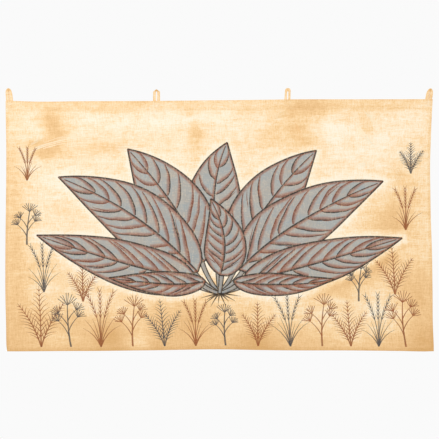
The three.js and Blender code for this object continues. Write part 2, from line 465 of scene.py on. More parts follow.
def paint_stalks(painting, rng, leaves):
    """The stalks from each blade's foot to the shared root, and short root strokes."""
    for leaf in leaves:
        foot = leaf.spine[2]
        pull = (foot[0] * 0.85, (foot[1] + ROOT[1]) / 2)
        path = bezier(foot, pull, ROOT, 10)
        wide = np.linspace(0.0095, 0.0065, 10)
        painting.ribbon(path, (-wide, wide), [(LEAF_FILL, (*GREY_SHADE, 0.97))])
        for side in (1, -1):
            edge = path + left_of(path) * (side * wide)[:, None]
            stroke(painting, edge, LINE, LEAF_INK)
    for k in range(9):
        angle = math.radians(-165 + 150 * k / 8 + rng.uniform(-6, 6))
        length = rng.uniform(0.035, 0.060)
        end = (ROOT[0] + length * 1.6 * math.cos(angle), ROOT[1] + length * math.sin(angle))
        pull = (ROOT[0] + length * 0.5 * math.cos(angle), ROOT[1] + length * 0.15 * math.sin(angle))
        stroke(painting, bezier(ROOT, pull, end, 6), 0.006 * taper(6, 1.0, 0.15), (*CHARCOAL, 0.92))


# Small plants: sprays, ferns and seeding grass, in thin brush lines

def brush(painting, start, end, bend, width, ink, count, thin_end):
    """A short curved stroke that thins towards its end."""
    start, end = np.array(start), np.array(end)
    across = np.array([-(end - start)[1], (end - start)[0]])
    path = bezier(start, (start + end) / 2 + across * bend, end, count)
    half = 0.5 * width * np.linspace(1.0, thin_end, count)
    painting.ribbon(path, (-half, half), [(ink, ink)])
    return path


def polar(origin, angle, length):
    return (origin[0] + length * math.cos(angle), origin[1] + length * math.sin(angle))


def headings(path):
    """The angle in which a path runs at each of its points."""
    return [math.atan2(rise, run) for run, rise in np.gradient(path, axis=0)]


def spray(painting, rng, foot, height, lean, ink):
    """A seeding umbel: a stem whose side stems end in fans of fine rays with thicker tips."""
    top = (foot[0] + lean, foot[1] + height * 0.78)
    stem = brush(painting, foot, top, 0.05, 0.0075, ink, 9, 0.45)
    heads = [(stem[-1], math.pi / 2, 0.24)]
    for k, share in enumerate((0.28, 0.44, 0.58, 0.72)):
        side = 1 if k % 2 else -1
        start = stem[int(share * 8)]
        angle = math.pi / 2 - side * rng.uniform(0.50, 0.70)
        end = polar(start, angle, height * (0.34 - 0.2 * (share - 0.3)))
        brush(painting, start, end, side * 0.12, 0.0044, ink, 5, 0.5)
        heads.append((end, angle + side * 0.12, 0.17))
    for place, angle, reach in heads:
        for k in range(8):
            ray = angle + (k - 3.5) * 0.27 + rng.uniform(-0.05, 0.05)
            tip = polar(place, ray, height * reach * rng.uniform(0.82, 1.0))
            brush(painting, place, tip, rng.uniform(-0.1, 0.1), 0.0022, ink, 3, 1.3)


def fern(painting, rng, foot, height, lean, ink):
    """Three fronds from one foot, each with paired leaflets that shorten towards its tip."""
    for turn, size in ((0.50, 0.80), (-0.48, 0.84), (0.04, 1.0)):
        tip = polar(foot, math.pi / 2 + turn - lean, height * size)
        frond = brush(painting, foot, tip, -0.22 * turn, 0.0060, ink, 13, 0.25)
        ahead = headings(frond)
        for k in range(2, 12):
            length = height * 0.21 * size * math.sin(math.pi * (k / 12.0) ** 0.7) + 0.006
            for side in (1, -1):
                end = polar(frond[k], ahead[k] + side * rng.uniform(0.70, 0.92), length)
                brush(painting, frond[k], end, -side * 0.16, 0.0036, ink, 3, 0.2)


def grass(painting, rng, foot, height, lean, ink):
    """Arching blades and nodding ears with short awns."""
    for k in range(7):
        angle = math.pi / 2 + (k - 3) * 0.25 - lean + rng.uniform(-0.06, 0.06)
        reach = height * rng.uniform(0.45, 0.68)
        brush(painting, foot, polar(foot, angle, reach), (k - 3) * -0.07, 0.0048, ink, 5, 0.15)
    for turn in (0.26, -0.22, 0.02):
        tip = polar(foot, math.pi / 2 + turn - lean, height * 0.98)
        stalk = brush(painting, foot, tip, -turn * 0.5, 0.0036, ink, 14, 0.6)
        ahead = headings(stalk)
        for k in range(7, 14):
            for side in (1, -1):
                end = polar(stalk[k], ahead[k] + side * 0.42, height * 0.105)
                brush(painting, stalk[k], end, 0.0, 0.0038, ink, 2, 0.2)


# Small plants: (kind, foot x, foot z, height, all in mm, lean, ink)
WARM = (*BROWN, 0.92)
DARK = (*SLATE, 0.92)
PLANTS = [
    (grass, -700, -800, 190, -0.02, DARK), (fern, -545, -838, 165, 0.02, WARM),
    (spray, 560, -840, 165, 0.01, DARK), (fern, 705, -812, 195, -0.02, WARM),
    (spray, -768, -610, 170, 0.01, DARK), (grass, 752, -555, 165, 0.02, WARM),
    (grass, -770, -352, 130, 0.03, WARM), (fern, 776, -330, 125, 0.02, DARK),
    (fern, -716, -1020, 245, 0.02, WARM), (spray, -598, -1020, 215, -0.01, DARK),
    (grass, -478, -1021, 225, 0.02, WARM), (spray, -350, -1020, 205, 0.01, WARM),
    (fern, -222, -1021, 190, -0.04, DARK), (grass, -98, -1022, 180, 0.03, WARM),
    (spray, 22, -1021, 170, 0.0, DARK), (fern, 152, -1021, 178, 0.05, WARM),
    (grass, 282, -1021, 200, -0.03, DARK), (spray, 410, -1020, 212, 0.01, WARM),
    (fern, 525, -1020, 185, -0.03, WARM), (grass, 636, -1020, 205, 0.02, DARK),
    (spray, 744, -1020, 225, -0.01, WARM),
]


# Dye of the ground

# Soft stains of the dye: (x, z, half width, half height, all in mm, tilt, depth, below 0 if paler)
STAINS = [
    (-672, -108, 50, 50, 0.0, 0.29), (-650, -165, 50, 40, 0.4, 0.26),
    (-690, -230, 54, 34, 0.2, 0.26), (-740, -200, 36, 16, 0.3, 0.22),
    (-470, -215, 250, 26, 0.05, 0.13), (-520, -240, 130, 16, 0.0, 0.08),
    (-90, -175, 34, 62, 0.0, 0.24), (40, -205, 52, 34, 0.0, 0.16), (195, -180, 62, 60, 0.0, 0.15),
    (310, -165, 64, 66, 0.0, 0.19), (375, -240, 66, 60, -0.5, 0.27), (305, -115, 70, 55, 0.0, 0.12),
    (390, -70, 130, 34, 0.0, 0.30), (-450, -66, 125, 24, 0.0, 0.14), (-115, -78, 42, 26, 0.0, 0.12),
    (640, -73, 75, 20, 0.0, 0.14), (115, -85, 70, 30, 0.0, 0.10), (-200, -118, 200, 24, 0.0, -0.12),
    (455, -185, 55, 85, 0.0, -0.14), (650, -220, 60, 45, 0.0, -0.14),
    (530, -285, 110, 80, 0.0, -0.06), (592, -140, 22, 70, 0.3, 0.12),
    (552, -435, 75, 32, 0.4, 0.34), (745, -375, 60, 90, 0.0, 0.16), (702, -520, 100, 90, 0.3, 0.32),
    (648, -655, 70, 62, 0.3, 0.44), (470, -752, 140, 52, 0.15, 0.40),
    (200, -700, 60, 62, 0.0, 0.20), (785, -800, 80, 110, 0.0, 0.24), (815, -985, 70, 70, 0.0, 0.16),
    (-822, -330, 36, 200, 0.0, 0.10), (-815, -600, 50, 200, 0.0, 0.18),
    (-800, -860, 60, 110, 0.0, 0.08), (-620, -905, 150, 55, 0.0, 0.12),
    (-440, -975, 70, 62, 0.0, 0.26), (-420, -700, 40, 65, 0.2, 0.28),
    (-270, -772, 110, 45, 0.0, 0.22), (-525, -845, 120, 45, 0.0, -0.16),
    (-110, -915, 85, 85, 0.0, 0.22), (150, -1000, 78, 50, 0.0, 0.26),
    (-250, -950, 45, 95, 0.0, 0.14), (640, -890, 120, 70, 0.0, -0.18),
    (270, -850, 80, 70, 0.0, -0.12), (-650, -350, 80, 50, 0.0, -0.10),
    (-330, -1000, 50, 40, 0.0, -0.18), (420, -905, 70, 50, 0.0, -0.14),
    (545, -990, 90, 45, 0.0, -0.12), (-655, -985, 50, 40, 0.0, -0.10),
    (-700, -700, 60, 60, 0.0, 0.10), (560, -110, 80, 20, 0.0, 0.10),
]
# How deep the dye is overall by height, as (z, depth)
DYE_BY_HEIGHT = [
    (-1.037, 0.68), (-0.980, 0.60), (-0.900, 0.51), (-0.800, 0.44), (-0.640, 0.37), (-0.480, 0.34),
    (-0.240, 0.32), (-0.090, 0.29), (-0.034, 0.31),
]
DYE_AT_SIDES = 0.05
SIDES_FROM = 0.72
SIDES_TO = 0.85
# The deeper dye of the hems, the darkening near the rim, and between which distances each fades out
HEM_DEPTH = 0.09
HEM_FADE = (-0.002, 0.004)
RIM_DARKENING = 0.12
RIM_DARKENING_FADE = (0.0, 0.004)
HALO_NEAR = 0.006
HALO_FAR = 0.034
HALO_STRENGTH = 0.55


def dye_depth(x, z):
    """How deep the ochre dye is at level places, darker still near the rim, from 0 for cream to 1
    for the darkest.
    """
    depth = smooth_rows(DYE_BY_HEIGHT, z)
    depth = depth + DYE_AT_SIDES * smoothstep(np.abs(x), SIDES_FROM, SIDES_TO)
    for *spot, tilt, shade in STAINS:
        at_x, at_z, half_x, half_z = (value / 1000 for value in spot)
        across, up = x - at_x, z - at_z
        along = across * math.cos(tilt) + up * math.sin(tilt)
        aside = up * math.cos(tilt) - across * math.sin(tilt)
        depth = depth + shade * np.exp(-((along / half_x) ** 2) - (aside / half_z) ** 2)
    depth = depth + HEM_DEPTH * (1 - smoothstep(past_seams(x, z), *HEM_FADE))
    # Darker within a few millimetres of the rim
    return depth + RIM_DARKENING * (1 - smoothstep(rim_distance(x, z), *RIM_DARKENING_FADE))


# Sweeps of a broad dry brush: (start x and z, pull x and z, end x and z, width, all in mm, ink,
# strength)
SWEEPS = [
    (418, -152, 440, -200, 478, -242, 30, CREAM, 0.68),
    (462, -128, 500, -170, 540, -212, 22, CREAM, 0.74),
    (535, -118, 585, -175, 635, -245, 20, CREAM, 0.94),
    (585, -75, 625, -120, 655, -175, 16, CREAM, 0.61),
    (640, -262, 655, -225, 648, -190, 26, CREAM, 0.68),
    (560, -300, 600, -285, 640, -290, 24, CREAM, 0.54),
    (-762, -238, -670, -195, -560, -188, 18, CREAM, 1.00),
    (-700, -205, -620, -170, -500, -165, 15, CREAM, 0.61),
    (-560, -130, -450, -150, -330, -142, 20, CREAM, 0.47),
    (-370, -92, -250, -85, -130, -92, 26, CREAM, 0.68),
    (-360, -160, -230, -150, -110, -160, 20, CREAM, 0.61),
    (-90, -108, 0, -100, 80, -112, 30, CREAM, 0.74),
    (-30, -232, 60, -242, 150, -232, 22, CREAM, 0.54),
    (160, -228, 220, -245, 290, -225, 20, CREAM, 0.61),
    (-765, -215, -715, -185, -660, -175, 16, OCHRE, 0.68),
    (-735, -262, -690, -245, -630, -246, 22, OCHRE, 0.68),
    (-700, -85, -665, -120, -620, -160, 34, OCHRE, 0.52),
    (-505, -212, -400, -232, -300, -222, 28, OCHRE, 0.45),
    (200, -110, 270, -85, 370, -78, 26, OCHRE, 0.52),
    (290, -135, 320, -170, 330, -225, 40, OCHRE, 0.52),
    (500, -420, 550, -428, 600, -405, 24, OCHRE, 0.60),
    (700, -300, 740, -350, 750, -420, 36, OCHRE, 0.45),
    (-756, -206, -730, -188, -694, -177, 14, CREAM, 0.85),
    (-590, -270, -480, -262, -390, -300, 20, CREAM, 0.55),
    (-130, -330, -60, -290, 60, -300, 22, CREAM, 0.45),
    (420, -320, 480, -290, 560, -330, 26, CREAM, 0.50),
    (-780, -780, -700, -760, -640, -790, 26, CREAM, 0.45),
    (620, -905, 700, -880, 780, -900, 34, CREAM, 0.45),
    (-440, -905, -380, -890, -300, -915, 30, CREAM, 0.40),
    (250, -890, 330, -870, 420, -895, 30, CREAM, 0.40),
    (-170, -985, -80, -965, 0, -990, 34, OCHRE, 0.45),
    (90, -985, 160, -970, 240, -990, 34, OCHRE, 0.45),
]


TRACK_WIDTH = 0.006


def paint_sweeps(painting, rng):
    """Broad dry-brush sweeps, each as a few bristle tracks side by side."""
    for *line, width, tint, strength in SWEEPS:
        whole = bezier(*np.array(line).reshape(3, 2) / 1000, 8)
        width = width / 1000
        tracks = max(3, round(width / TRACK_WIDTH))
        for k in range(tracks):
            first, last = rng.randrange(0, 3), rng.randrange(6, 9)
            aside = width * ((k + rng.uniform(0.25, 0.75)) / tracks - 0.5)
            path = (whole + left_of(whole) * aside)[first:last]
            half = width / tracks * rng.uniform(0.35, 0.62) * taper(len(path), 0.5, 0.3)
            full = (*tint, strength * rng.uniform(0.55, 1.0))
            none = (*tint, 0.0)
            offsets = (-half, -half * 0.3, half * 0.3, half)
            painting.ribbon(path, offsets, [(none, full), (full, full), (full, none)])


def halo_share(points, outline_points):
    """How far the paler edge round the main motif reaches at each point, from 0 to 1."""
    nearest = []
    for chunk in np.array_split(points, len(points) // 2000 + 1):
        gaps = chunk[:, None, :] - outline_points[None]
        nearest.append(np.sqrt((gaps**2).sum(axis=2).min(axis=1)))
    return 1 - smoothstep(np.concatenate(nearest), HALO_NEAR, HALO_FAR)


# Front, back and rim of the cloth

def border_points(step):
    """Places round the cloth's rim, counter-clockwise in level (x, z), and the way out at each."""
    right, low, high = WIDTH / 2 - RIM_ROUND, BOTTOM_Z + RIM_ROUND, TOP_Z - RIM_ROUND
    corners = [(-right, low), (right, low), (right, high), (-right, high)]
    ways = [(0, -1), (1, 0), (0, 1), (-1, 0)]
    places, outward = [], []
    for k, (start, way) in enumerate(zip(corners, ways)):
        end = corners[(k + 1) % 4]
        count = round(math.dist(start, end) / step)
        for i in range(count):
            places.append([s + (e - s) * (i / count) for s, e in zip(start, end)])
        outward.append([a + b for a, b in zip(way, ways[k - 1])])
        outward.extend([way] * (count - 1))
    return np.array(places), np.array(outward, dtype=float)


def ground_points(rng, step):
    """Loosely even places inside the cloth."""
    columns, rows = round(WIDTH / step), round(DROP / step)
    x, z = np.meshgrid(np.arange(1, columns) / columns, np.arange(1, rows) / rows)
    places = np.stack([x.ravel() * WIDTH - WIDTH / 2, z.ravel() * DROP + BOTTOM_Z], axis=1)
    places += rng.uniform(-0.12, 0.12, places.shape) * step
    return places[rim_distance(*places.T) > HEM_STEP + 0.6 * SEAM_STEP]


def hem_lines(offsets, step):
    """Rows of places that run along the hems, at distances in from each hem's own seam."""
    places = []
    for offset in offsets:
        left, right = -WIDTH / 2 + SIDE_HEM + offset, WIDTH / 2 - SIDE_HEM - offset
        low, high = BOTTOM_Z + BOTTOM_HEM + offset, TOP_Z - TOP_HEM - offset
        for x in np.arange(-WIDTH / 2 + step, WIDTH / 2 - step / 2, step):
            places.extend([(x, low), (x, high)])
        for z in np.arange(BOTTOM_Z + step, TOP_Z - step / 2, step):
            places.extend([(left, z), (right, z)])
    return np.array(places)


def triangulate(border, loose, painting):
    """One flat mesh of the cloth that keeps to the painted shapes' edges.

    Returns its places, its triangles and where each border point went.
    """
    shift = len(border)
    edges = set()
    for face in painting.faces:
        for a, b in zip(face, face[1:] + face[:1]):
            edges.add((min(a, b) + shift, max(a, b) + shift))
    flat = [Vector(p) for p in (*border, *painting.points, *loose)]
    rim_face = list(range(shift))
    made = delaunay_2d_cdt(flat, sorted(edges), [rim_face], 1, 1e-6, True)
    places, _, triangles, came_from = made[:4]
    new_index = {old: new for new, olds in enumerate(came_from) for old in olds}
    rim = [new_index[k] for k in rim_face]
    return np.array([tuple(p) for p in places]), np.array(triangles), rim


def shapes_over(middles, painting):
    """Each pair of (shape, triangle) where the shape covers the triangle's middle."""
    order = np.argsort(middles[:, 0])
    sorted_x = middles[order, 0]
    pairs = []
    for k, face in enumerate(painting.faces):
        outline = np.array([painting.points[i] for i in face])
        low, high = outline.min(axis=0), outline.max(axis=0)
        near = order[np.searchsorted(sorted_x, low[0]):np.searchsorted(sorted_x, high[0])]
        up = middles[near, 1]
        near = near[(up > low[1]) & (up < high[1])]
        if len(near):
            near = near[inside(outline, middles[near])]
            pairs.append(np.stack([np.full(len(near), k), near], axis=1))
    return np.concatenate(pairs)


def ink_triangles(places, triangles, painting):
    """The paint at each triangle's corners, as colour times cover, and cover."""
    corners = np.array(painting.corners)
    inks = np.array(painting.inks)
    inks[..., :3] = srgb_to_linear(inks[..., :3])
    pairs = shapes_over(places[triangles].mean(axis=1), painting)
    pairs = pairs[np.lexsort((pairs[:, 0], pairs[:, 1]))]
    first = np.searchsorted(pairs[:, 1], pairs[:, 1])
    level = np.arange(len(pairs)) - first
    result = np.zeros((len(triangles), 3, 4))
    for turn in range(int(level.max()) + 1):
        shapes, rows = pairs[level == turn].T
        weights = corner_weights(places[triangles[rows]], corners[shapes])
        ink = np.einsum("nck,nkd->ncd", weights, inks[shapes])
        cover = np.clip(ink[..., 3:], 0, 1)
        fresh = np.concatenate([np.clip(ink[..., :3], 0, 1) * cover, cover], axis=2)
        result[rows] = result[rows] * (1 - cover) + fresh
    return result


def corner_weights(spots, shape):
    """Weights of each shape's three corners at each of the triangle's corners."""
    a, b, c = shape[:, None, 0], shape[:, None, 1], shape[:, None, 2]
    whole = cross(b - a, c - a)
    at_b = cross(spots - a, c - a) / whole
    at_c = cross(b - a, spots - a) / whole
    return np.stack([1 - at_b - at_c, at_b, at_c], axis=2)


def cross(u, v):
    return u[..., 0] * v[..., 1] - u[..., 1] * v[..., 0]


def srgb_to_linear(shade):
    shade = np.asarray(shade, dtype=float)
    return np.where(shade <= 0.04045, shade / 12.92, ((shade + 0.055) / 1.055) ** 2.4)


def back_depth(x, z):
    """How far the back face stands behind the mid-plane."""
    return THICK / 2 + TURNED_THICK * (1 - smoothstep(past_seams(x, z), 0.0, HEM_STEP))


def front_normals(x, z):
    """The front's outward direction from the slope of the cloth itself."""
    step = 0.0008
    aside = cloth_places(x + step, z, 0.0) - cloth_places(x - step, z, 0.0)
    upward = cloth_places(x, z + step, 0.0) - cloth_places(x, z - step, 0.0)
    normal = np.cross(aside, upward)
    return normal / np.linalg.norm(normal, axis=1)[:, None]


# The faint ghost of the leaves that shows on the back
GHOST_FILL = (*GREY, 0.10)
GHOST_REACH = (-0.004, 0.0, 0.006)
GHOST_EDGE = [((*RUST, 0.0), (*RUST, 0.2)), ((*RUST, 0.2), (*RUST, 0.0))]


def design():
    """The painting, and the leaves' outline points that show at its edge."""
    rng = random.Random(11)
    painting = Painting()
    leaves = [Leaf(rng, *row) for row in LEAVES]
    painting.leaves_to_come = leaves
    paint_sweeps(painting, rng)
    for kind, x, z, height, lean, ink in PLANTS:
        kind(painting, rng, (x / 1000, z / 1000), height / 1000, lean, ink)
    paint_stalks(painting, rng, leaves)
    for i, leaf in enumerate(leaves):
        painting.leaves_to_come = leaves[i + 1:]
        paint_leaf(painting, leaf)
    ghost = Painting()
    shown = []
    for i, leaf in enumerate(leaves):
        ghost.leaves_to_come = leaves[i + 1:]
        ghost.area(leaf.outline, GHOST_FILL)
        ghost.ribbon(leaf.outline, GHOST_REACH, GHOST_EDGE)
        others = [other for other in leaves if other is not leaf]
        shown.append(leaf.outline[~hidden_under(others, leaf.outline)])
    return painting, ghost, leaves, np.concatenate(shown)


def build_cloth():
    """The cloth as one closed mesh, with its dye and paint stored at the corners of its faces."""
    rng = np.random.default_rng(5)
    painting, ghost, leaves, edge_points = design()
    border, outward = border_points(BORDER_STEP)
    loose = np.concatenate([ground_points(rng, GROUND_STEP), hem_lines(FRONT_ROWS, SEAM_STEP)])
    front, front_faces, front_rim = triangulate(border, loose, painting)
    loose = np.concatenate([ground_points(rng, BACK_STEP), hem_lines(BACK_ROWS, BACK_STEP)])
    back, back_faces, back_rim = triangulate(border, loose, ghost)

    layers = [(front, -THICK / 2), (back, back_depth(*back.T))]
    rims = [front_rim]
    count = len(front) + len(back)
    for k in range(1, RIM_RINGS):
        turn = math.pi * k / RIM_RINGS
        behind = -THICK / 2 + (THICK + TURNED_THICK) * (1 - math.cos(turn)) / 2
        layers.append((border + outward * RIM_ROUND * math.sin(turn), behind))
        rims.append(list(range(count, count + len(border))))
        count += len(border)
    rims.append([len(front) + k for k in back_rim])
    points = np.concatenate([cloth_places(*places.T, behind) for places, behind in layers])
    level = np.concatenate([places for places, _ in layers])

    rim_faces = []
    for near, far in zip(rims, rims[1:]):
        for i in range(len(border)):
            j = (i + 1) % len(border)
            rim_faces.append((near[i], far[i], far[j], near[j]))
    faces = [tuple(f) for f in front_faces] + rim_faces
    faces += [tuple(len(front) + k for k in f[::-1]) for f in back_faces]
    cloth = mesh_object("painted_cloth", points.tolist(), faces)

    paint = np.concatenate([
        ink_triangles(front, front_faces, painting).reshape(-1, 4),
        np.zeros((len(rim_faces) * 4, 4)),
        ink_triangles(back, back_faces, ghost)[:, ::-1].reshape(-1, 4),
    ])
    point_of, face_of = corner_owners(cloth.data)
    on_back = face_of >= len(front_faces) + len(rim_faces)
    store_colours(cloth.data, paint, dye_under(level, leaves, edge_points)[point_of], on_back)
    store_bake_layout(cloth.data, level[point_of], on_back)
    normals = np.zeros(len(points) * 3)
    cloth.data.vertex_normals.foreach_get("vector", normals)
    normals = normals.reshape(-1, 3)
    normals[:len(front)] = front_normals(*front.T)
    cloth.data.normals_split_custom_set_from_vertices(normals.tolist())
    return cloth


def corner_owners(mesh):
    """The point and the face to which each face corner belongs."""
    point_of = np.zeros(len(mesh.loops), dtype=np.int32)
    mesh.loops.foreach_get("vertex_index", point_of)
    sizes = np.zeros(len(mesh.polygons), dtype=np.int32)
    mesh.polygons.foreach_get("loop_total", sizes)
    return point_of, np.repeat(np.arange(len(sizes)), sizes)


def dye_under(level, leaves, edge_points):
    """The dye's depth at each place, paler under the main motif and close round it."""
    halo = halo_share(level, edge_points)
    halo[hidden_under(leaves, level)] = 1.0
    return dye_depth(*level.T) * (1 - HALO_STRENGTH * halo)


def store_colours(mesh, paint, depth, on_back):
    """Keep the paint, the dye's depth and a mark for the back on the mesh."""
    ground = np.stack([depth, np.zeros(len(depth)), on_back, np.ones(len(depth))], axis=1)
    for name, values in (("paint", paint), ("ground", ground)):
        layer = mesh.color_attributes.new(name, "FLOAT_COLOR", "CORNER")
        layer.data.foreach_set("color", values.ravel())


def store_bake_layout(mesh, level, on_back):
    """Lay the front above the back, both flat, for a baked picture."""
    span = 2 * DROP + 6 * BAKE_MARGIN
    x, z = level.T
    u = (x + WIDTH / 2 + BAKE_MARGIN) / span
    v = (z - BOTTOM_Z + BAKE_MARGIN + np.where(on_back, 0.0, DROP + 3 * BAKE_MARGIN)) / span
    layer = mesh.uv_layers.new(name="OFBake")
    layer.data.foreach_set("uv", np.stack([u, v], axis=1).ravel())


# Loops

def loop_edge(foot_z, foot_width, top_width, crown, spring, form, level_from):
    """One edge of the strip from its left end over the crown to its right end, as (across, up).

    Its width changes evenly from the cloth's edge up to level_from and stays as it is above.
    """
    springing = crown - spring
    rise = np.linspace(0, 1, 19)[:-1]
    z = foot_z - LOOP_TUCK + (springing - foot_z + LOOP_TUCK) * rise
    share = np.clip((z - foot_z) / (level_from - foot_z), 0.0, 1.0)
    half = (foot_width + (top_width - foot_width) * share) / 2
    angle = math.pi * (1 - np.linspace(0, 1, 27))
    cosine = np.cos(angle)
    arch_x = np.sign(cosine) * (top_width / 2) * np.abs(cosine) ** (2 / form)
    arch_z = springing + spring * np.abs(np.sin(angle)) ** (2 / form)
    across = np.concatenate([-half, arch_x, half[::-1]])
    up = np.concatenate([z, arch_z, z[::-1]])
    return np.stack([across, up], axis=1)


def build_loop(name, foot, head, foot_width, top_width, slit, gap, crown, spring, form, crown_dark):
    """A folded strip bent over the peg, with both ends sewn on behind the top hem."""
    rng = random.Random(name)
    foot_z = TOP_Z + float(smooth_rows(TOP_EDGE, np.array([foot]))[0])
    outer = loop_edge(foot_z, foot_width, top_width, crown, spring, form, crown - spring)
    inner = loop_edge(foot_z, slit, gap, 0.0, gap * 0.6, 2.0, -EYE_DEPTH)
    middle, reach = (outer + inner) / 2, (outer - inner) / 2
    count = len(middle)
    fray = 1 + wander(rng, count, FRAY, 16.0)
    sway = wander(rng, count, SWAY, 9.0) * smoothstep(middle[:, 1], foot_z, foot_z + SWAY_START)
    crease_shade = SHUT_FOLD_PAINTED_SHADE if slit < SHUT_SLIT else 0.0
    section = strip_section()
    points, shades = [], []
    for i in range(count):
        for across, deep, groove in section:
            flat = middle[i] + reach[i] * across * (fray[i] if across > 0 else 1.0)
            rise = min(max((flat[1] - foot_z) / -foot_z, 0.0), 2.0)
            lean = foot + (head - foot) * rise
            points.append((lean + flat[0], sway[i] + LOOP_THICK / 2 * deep, flat[1]))
            # A darker spot at the crown, over the peg
            above = (flat[1] - crown * 0.45) / CROWN_DARK_UP
            spot = math.exp(-((flat[0] / CROWN_DARK_ACROSS) ** 2) - above**2)
            # Painted shade in the fold between the legs of a shut loop and, below, in the furrow
            fold_shade = crease_shade * math.exp(-(((across + 1) / CREASE_WIDTH) ** 2))
            shades.append(STRIP_DYE + crown_dark * 1.2 * spot + GROOVE_PAINTED_SHADE * groove + fold_shade)
    strip = mesh_object(name + "_strip", points, tube_faces(0, count, STRIP_SIDES))
    ground = strip.data.color_attributes.new("ground", "FLOAT_COLOR", "POINT")
    ground.data.foreach_set("color", [v for s in shades for v in (s, 0.0, 0.0, 1.0)])
    return strip


def tube_faces(base, rows, size):
    """The sides and both ends of a tube whose points start at base, row after row."""
    faces = []
    for row in range(base, base + (rows - 1) * size, size):
        for k in range(size):
            a, b = row + k, row + (k + 1) % size
            faces.append((a, a + size, b + size, b))
    last = base + (rows - 1) * size
    return [*faces, tuple(range(base, base + size)), tuple(range(last, last + size))[::-1]]


def strip_section():
    """The strip's section from its gap side out, as (across, deep, groove), with a sewn furrow."""
    section = []
    for k in range(STRIP_SIDES):
        turn = 2 * math.pi * k / STRIP_SIDES
        across = math.copysign(abs(math.cos(turn)) ** 0.75, math.cos(turn))
        deep = math.copysign(abs(math.sin(turn)) ** 0.62, math.sin(turn))
        from_groove = (across - GROOVE_AT) / GROOVE_WIDTH
        groove = math.exp(-(from_groove**2)) if abs(deep) > 0.3 else 0.0
        section.append((across, deep * (1 - GROOVE_SINK * groove), groove))
    return section


# Sewing thread

STITCH = 0.0042
STITCH_PITCH = 0.0085
SEAM_END = 0.004
# Up to how far a stitch strays to the side, and turns from the seam over its length
STITCH_ASIDE = 0.0004
STITCH_TURN = 0.0003
# Bars on each leg of a loop, and on the front and back: how far the first is below the edge, half
# their length as a share of the leg's width, and how far they slant
BARS = 4
BAR_PITCH = 0.0065
FRONT_BARS = (0.007, 0.34, 0.0008)
BACK_BARS = (0.008, 0.42, 0.0006)
THREAD = 0.00042
THREAD_SIDES = 6
# One stitch comes up, runs along and dips back into the cloth, as (share along, height, size)
STITCH_ROWS = [
    (0.0, -0.9, 0.55), (0.16, 0.35, 1.0), (0.5, 0.62, 1.0), (0.84, 0.35, 1.0), (1.0, -0.9, 0.55),
]


def add_stitch(points, faces, start, end, lift):
    """Add one stitch to the points and faces, standing up along lift."""
    along = (end - start) / np.linalg.norm(end - start)
    side = np.cross(along, lift)
    faces.extend(tube_faces(len(points), len(STITCH_ROWS), THREAD_SIDES))
    for share, height, size in STITCH_ROWS:
        centre = start + (end - start) * share + lift * height * THREAD
        for k in range(THREAD_SIDES):
            turn = 2 * math.pi * k / THREAD_SIDES
            offset = side * math.cos(turn) + lift * math.sin(turn)
            points.append(tuple(centre + offset * THREAD * size))


def seam_lines():
    """The four hem seams as pairs of level ends."""
    left, right = -WIDTH / 2 + SIDE_HEM - SEAM_INSET, WIDTH / 2 - SIDE_HEM + SEAM_INSET
    low, high = BOTTOM_Z + BOTTOM_HEM - SEAM_INSET, TOP_Z - TOP_HEM + SEAM_INSET
    return [
        ((left, high), (right, high)),
        ((left, low), (right, low)),
        ((left, low), (left, high)),
        ((right, low), (right, high)),
    ]


def loop_legs():
    """Middle and width of each leg of each loop behind the hem."""
    legs = []
    for foot, _, wide, _, slit, *_ in LOOPS.values():
        strip = (wide - slit) / 2
        for side in (-1, 1):
            legs.append((foot + side * (slit + strip) / 2, strip))
    return legs


def build_stitches(name, on_back):
    """Running stitches along the hem seams, and the bars that hold the loops' ends."""
    rng = random.Random(name)
    points, faces = [], []
    lift = np.array([0.0, 1.0 if on_back else -1.0, 0.0])

    def sew(start, end):
        x, z = np.array([start, end]).T
        depth = back_depth(x, z) if on_back else -THICK / 2
        add_stitch(points, faces, *cloth_places(x, z, depth), lift)

    for (ax, az), (bx, bz) in seam_lines():
        length = math.dist((ax, az), (bx, bz))
        ux, uz = (bx - ax) / length, (bz - az) / length
        place = STITCH_PITCH * (0.5 if on_back else 0.0) + SEAM_END
        while place + STITCH < length - SEAM_END:
            aside = rng.uniform(-STITCH_ASIDE, STITCH_ASIDE)
            long = STITCH * rng.uniform(0.8, 1.1)
            start = (ax + ux * place - uz * aside, az + uz * place + ux * aside)
            aside = aside + rng.uniform(-STITCH_TURN, STITCH_TURN)
            end = (start[0] + ux * long - uz * aside, start[1] + uz * long + ux * aside)
            sew(start, end)
            place += STITCH_PITCH * rng.uniform(0.93, 1.07)
    if not on_back:
        first, share, slant = FRONT_BARS
        for centre, strip in loop_legs():
            for row in range(BARS):
                z = TOP_Z - first - BAR_PITCH * row
                half = strip * share
                sew((centre - half, z), (centre + half, z + rng.uniform(-slant, slant)))
    return mesh_object(name, points, faces)


def build_bars():
    """Thread across the loops' ends behind the hem."""
    rng = random.Random("bars")
    points, faces = [], []
    first, share, slant = BACK_BARS
    for centre, strip in loop_legs():
        for row in range(BARS):
            z = TOP_Z - first - BAR_PITCH * row
            ends = []
            for side in (-1, 1):
                x = centre + side * strip * share
                ends.append(np.array([x, LOOP_THICK / 2, z + rng.uniform(-slant, slant)]))
            add_stitch(points, faces, *ends, np.array([0.0, 1.0, 0.0]))
    return mesh_object("loop_bars", points, faces)


def placed(name, data):
    """A new object in the scene."""
    made = bpy.data.objects.new(name, data)
    bpy.context.scene.collection.objects.link(made)
    return made


def mesh_object(name, points, faces):
    mesh = bpy.data.meshes.new(name)
    mesh.from_pydata(points, [], faces)
    mesh.polygons.foreach_set("use_smooth", [True] * len(faces))
    return placed(name, mesh)


# Materials

